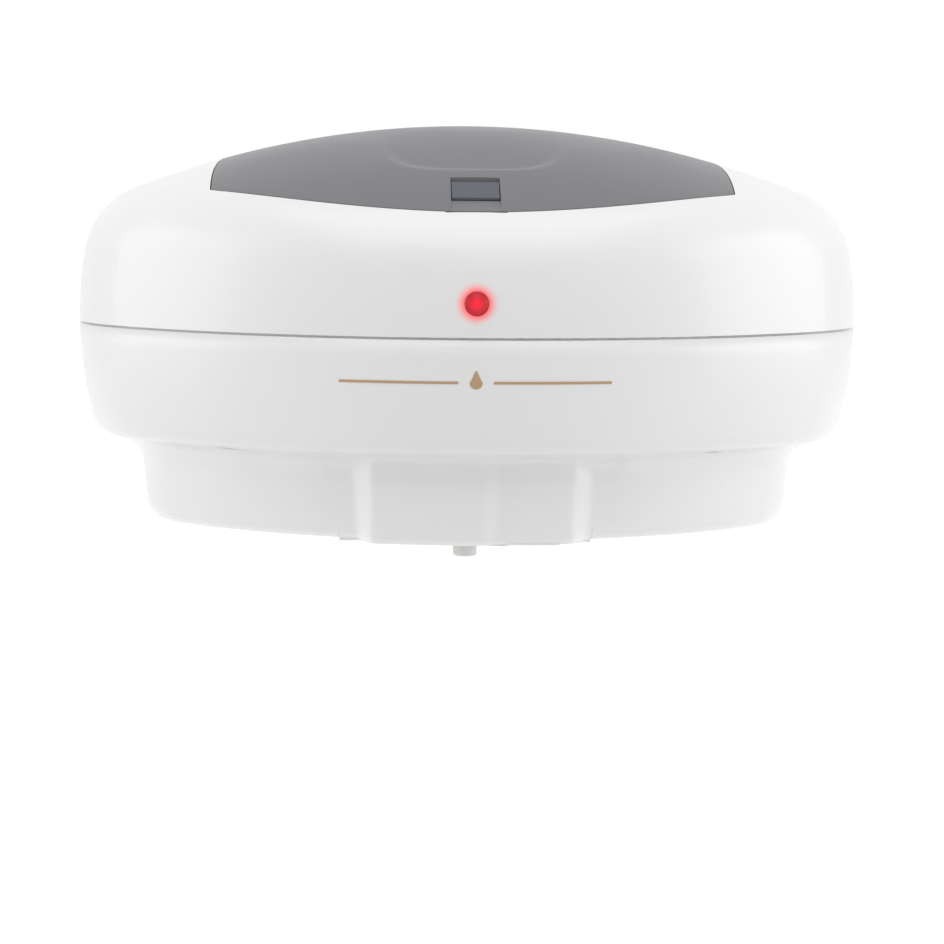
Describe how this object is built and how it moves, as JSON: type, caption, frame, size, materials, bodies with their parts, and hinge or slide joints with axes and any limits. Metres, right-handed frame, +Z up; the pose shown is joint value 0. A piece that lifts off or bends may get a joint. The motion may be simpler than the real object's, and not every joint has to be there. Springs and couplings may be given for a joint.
{
  "type": "automatic soap dispenser",
  "caption": "Wall-hung sensor soap dispenser: rounded white housing, hinged smoked lid over a soap tank, motor-driven gear pump with a spout underneath, battery bay and indicator lamp.",
  "frame": {"origin": "centre of the four wall screws, on the wall plane, level with the seam between the two housing shells", "axes": "+X to the user's right along the wall, +Y into the wall, +Z up"},
  "size_m": [0.26, 0.1196, 0.1403],
  "materials": {
    "white_shell": "satin",
    "smoked_lid": "gloss",
    "dark_plastic": "matte",
    "latch_plastic": "satin",
    "tank_plastic": "satin",
    "seal_rubber": "matte",
    "silicone": "satin",
    "acetal": "satin",
    "pump_plastic": "matte",
    "steel": "satin",
    "spring_steel": "gloss",
    "zinc_steel": "satin",
    "brass": "satin",
    "circuit_board": "satin",
    "chip_plastic": "matte",
    "capacitor_sleeve": "gloss",
    "connector_plastic": "satin",
    "cell_jacket": "gloss",
    "red_lens": "gloss",
    "sensor_black": "gloss",
    "clear_resin": "gloss",
    "red_sleeve": "satin",
    "black_sleeve": "satin"
  },
  "bodies": {
    "wall_plate": {"wall_plate": "white_shell"},
    "housing": {"lower_housing": "white_shell", "upper_cover": "white_shell", "lid_gasket": "silicone", "hinge_pins": "steel", "soap_tank": "tank_plastic", "rim_gasket": "silicone", "outlet_strainer": "acetal", "inlet_hose": "silicone", "outlet_hose": "silicone", "hose_clips": "spring_steel", "pump_body": "pump_plastic", "pump_gasket": "seal_rubber", "pump_cover": "pump_plastic", "shaft_seal": "seal_rubber", "pump_screws": "zinc_steel", "motor_can": "zinc_steel", "motor_end_cap": "dark_plastic", "motor_terminals": "brass", "motor_bracket": "zinc_steel", "motor_screws": "zinc_steel", "nozzle": "silicone", "nozzle_collar": "dark_plastic", "drip_valve": "silicone", "battery_box": "dark_plastic", "batteries": "cell_jacket", "contact_plates": "spring_steel", "contact_springs": "spring_steel", "contact_dimples": "spring_steel", "sensor_window": "sensor_black", "infrared_emitter": "clear_resin", "infrared_receiver": "sensor_black", "component_leads": "zinc_steel", "sensor_board": "circuit_board", "indicator_lens": "red_lens", "indicator_led": "red_lens", "led_board": "circuit_board", "led_screws": "zinc_steel", "switch_body": "dark_plastic", "control_board": "circuit_board", "board_chips": "chip_plastic", "board_capacitors": "capacitor_sleeve", "board_transistor": "chip_plastic", "board_connectors": "connector_plastic", "inner_screws": "zinc_steel", "shell_screws": "zinc_steel", "red_wires": "red_sleeve", "black_wires": "black_sleeve"},
    "lid": {"lid": "smoked_lid", "latch_spring": "spring_steel"},
    "latch": {"latch_button": "latch_plastic"},
    "battery_door": {"battery_door": "white_shell"},
    "switch": {"switch_knob": "dark_plastic"},
    "pump_drive": {"reduction_gear": "acetal", "drive_shaft": "steel", "pump_drive_gear": "acetal"},
    "pump_idler": {"pump_idler_gear": "acetal", "idler_shaft": "steel"},
    "motor_rotor": {"motor_shaft": "steel", "motor_pinion": "brass"}
  },
  "joints": [
    {"name": "housing_lift", "type": "slide", "parent": "wall_plate", "child": "housing", "axis": [0, 0, 1], "range_m": [0, 0.009]},
    {"name": "lid_hinge", "type": "hinge", "parent": "housing", "child": "lid", "pos_m": [0, -0.013, 0.0575], "axis": [-1, 0, 0], "range_deg": [0, 92]},
    {"name": "latch_press", "type": "slide", "parent": "lid", "child": "latch", "axis": [0, 1, 0], "range_m": [0, 0.002], "stiffness_N_per_m": 600, "springref_m": -0.002, "deforming": ["latch_spring"]},
    {"name": "battery_door_slide", "type": "slide", "parent": "housing", "child": "battery_door", "axis": [1, 0, 0], "range_m": [0, 0.005]},
    {"name": "power_switch", "type": "slide", "parent": "housing", "child": "switch", "axis": [1, 0, 0], "range_m": [0, 0.004]},
    {"name": "pump_drive_spin", "type": "hinge", "parent": "housing", "child": "pump_drive", "pos_m": [0, -0.05575, -0.038], "axis": [1, 0, 0], "continuous": true},
    {"name": "pump_idler_spin", "type": "hinge", "parent": "housing", "child": "pump_idler", "pos_m": [0, -0.06825, -0.038], "axis": [1, 0, 0], "continuous": true},
    {"name": "motor_spin", "type": "hinge", "parent": "housing", "child": "motor_rotor", "pos_m": [0, -0.04375, -0.038], "axis": [1, 0, 0], "continuous": true}
  ],
  "couplings": [
    {"joint": "pump_idler_spin", "follows": "pump_drive_spin", "ratio": -1},
    {"joint": "motor_spin", "follows": "pump_drive_spin", "ratio": -3}
  ]
}
